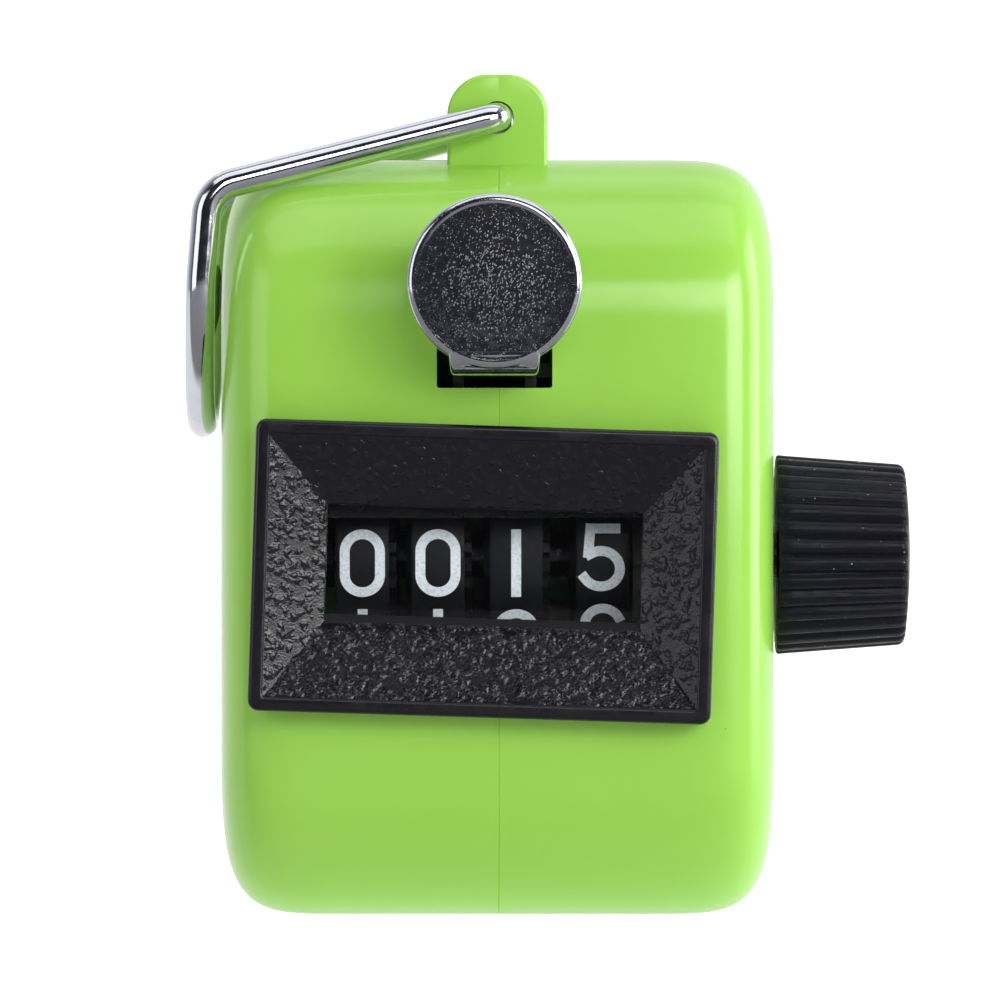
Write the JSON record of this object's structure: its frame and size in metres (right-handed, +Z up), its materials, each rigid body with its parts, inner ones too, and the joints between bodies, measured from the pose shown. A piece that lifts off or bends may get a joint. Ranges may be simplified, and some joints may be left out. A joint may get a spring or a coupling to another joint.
{
  "type": "hand tally counter",
  "caption": "Hand tally counter: moulded two-part case, number wheels with carry pinions, sprung thumb lever with pawl and ratchet, ribbed reset knob, bezel window and wire finger ring.",
  "frame": {"origin": "on the flat base, at the seam of the two case halves, straight below the axis of the counter shaft", "axes": "+X right along the counter shaft towards the reset knob, +Y to the back of the case, +Z up to the ring's ear"},
  "size_m": [0.052, 0.0353, 0.0602],
  "materials": {
    "green_abs": "polished moulded plastic",
    "black_abs": "fine leather grain, smooth rim",
    "clear_acrylic": "clear moulded plastic",
    "chrome": "bright plated steel",
    "bright_steel": "drawn steel",
    "white_acetal": "natural moulded plastic"
  },
  "bodies": {
    "case": {"left_case": "green_abs", "right_case": "green_abs", "bezel": "black_abs", "window_lens": "clear_acrylic", "screw_lower_front": "bright_steel", "screw_lower_back": "bright_steel", "screw_upper_back": "bright_steel", "lever_pin": "bright_steel", "lever_spring": "bright_steel", "pinion_shaft": "bright_steel", "click_spring": "bright_steel"},
    "knob_shaft": {"main_shaft": "bright_steel", "shaft_clip": "bright_steel", "reset_knob": "black_abs"},
    "units": {"units_wheel": "black_abs", "units_ratchet": "white_acetal"},
    "tens": {"tens_wheel": "black_abs"},
    "hundreds": {"hundreds_wheel": "black_abs"},
    "thousands": {"thousands_wheel": "black_abs"},
    "units_carry": {"units_pinion": "white_acetal"},
    "tens_carry": {"tens_pinion": "white_acetal"},
    "hundreds_carry": {"hundreds_pinion": "white_acetal"},
    "lever": {"thumb_lever": "chrome", "pawl_rivet": "bright_steel"},
    "pawl": {"drive_pawl": "bright_steel"},
    "ring": {"wire_ring": "chrome"}
  },
  "joints": [
    {"name": "knob_turn", "type": "hinge", "parent": "case", "child": "knob_shaft", "pos_m": [0, 0, 0.0258], "axis": [1, 0, 0], "continuous": true},
    {"name": "units_turn", "type": "hinge", "parent": "case", "child": "units", "pos_m": [0, 0, 0.0258], "axis": [-1, 0, 0], "continuous": true},
    {"name": "tens_turn", "type": "hinge", "parent": "case", "child": "tens", "pos_m": [0, 0, 0.0258], "axis": [-1, 0, 0], "continuous": true},
    {"name": "hundreds_turn", "type": "hinge", "parent": "case", "child": "hundreds", "pos_m": [0, 0, 0.0258], "axis": [-1, 0, 0], "continuous": true},
    {"name": "thousands_turn", "type": "hinge", "parent": "case", "child": "thousands", "pos_m": [0, 0, 0.0258], "axis": [-1, 0, 0], "continuous": true},
    {"name": "units_carry_turn", "type": "hinge", "parent": "case", "child": "units_carry", "pos_m": [0, 0.0082, 0.01892], "axis": [-1, 0, 0], "continuous": true},
    {"name": "tens_carry_turn", "type": "hinge", "parent": "case", "child": "tens_carry", "pos_m": [0, 0.0082, 0.01892], "axis": [-1, 0, 0], "continuous": true},
    {"name": "hundreds_carry_turn", "type": "hinge", "parent": "case", "child": "hundreds_carry", "pos_m": [0, 0.0082, 0.01892], "axis": [-1, 0, 0], "continuous": true},
    {"name": "lever_press", "type": "hinge", "parent": "case", "child": "lever", "pos_m": [0, -0.0099, 0.037], "axis": [-1, 0, 0], "range_deg": [0, 14], "stiffness_Nm_per_rad": 0.03, "springref_deg": -22.92},
    {"name": "pawl_swing", "type": "hinge", "parent": "lever", "child": "pawl", "pos_m": [0, 0.0068, 0.0372], "axis": [1, 0, 0], "range_deg": [0, 14]},
    {"name": "ring_swing", "type": "hinge", "parent": "case", "child": "ring", "pos_m": [0, 0.0005, 0.0571], "axis": [0, 1, 0], "range_deg": [0, 200]}
  ],
  "couplings": [
    {"joint": "tens_turn", "follows": "units_turn", "ratio": 0.1},
    {"joint": "hundreds_turn", "follows": "units_turn", "ratio": 0.01},
    {"joint": "thousands_turn", "follows": "units_turn", "ratio": 0.001},
    {"joint": "units_carry_turn", "follows": "units_turn", "ratio": -0.25},
    {"joint": "tens_carry_turn", "follows": "units_turn", "ratio": -0.025},
    {"joint": "hundreds_carry_turn", "follows": "units_turn", "ratio": -0.0025},
    {"joint": "pawl_swing", "follows": "lever_press", "ratio": 1}
  ]
}
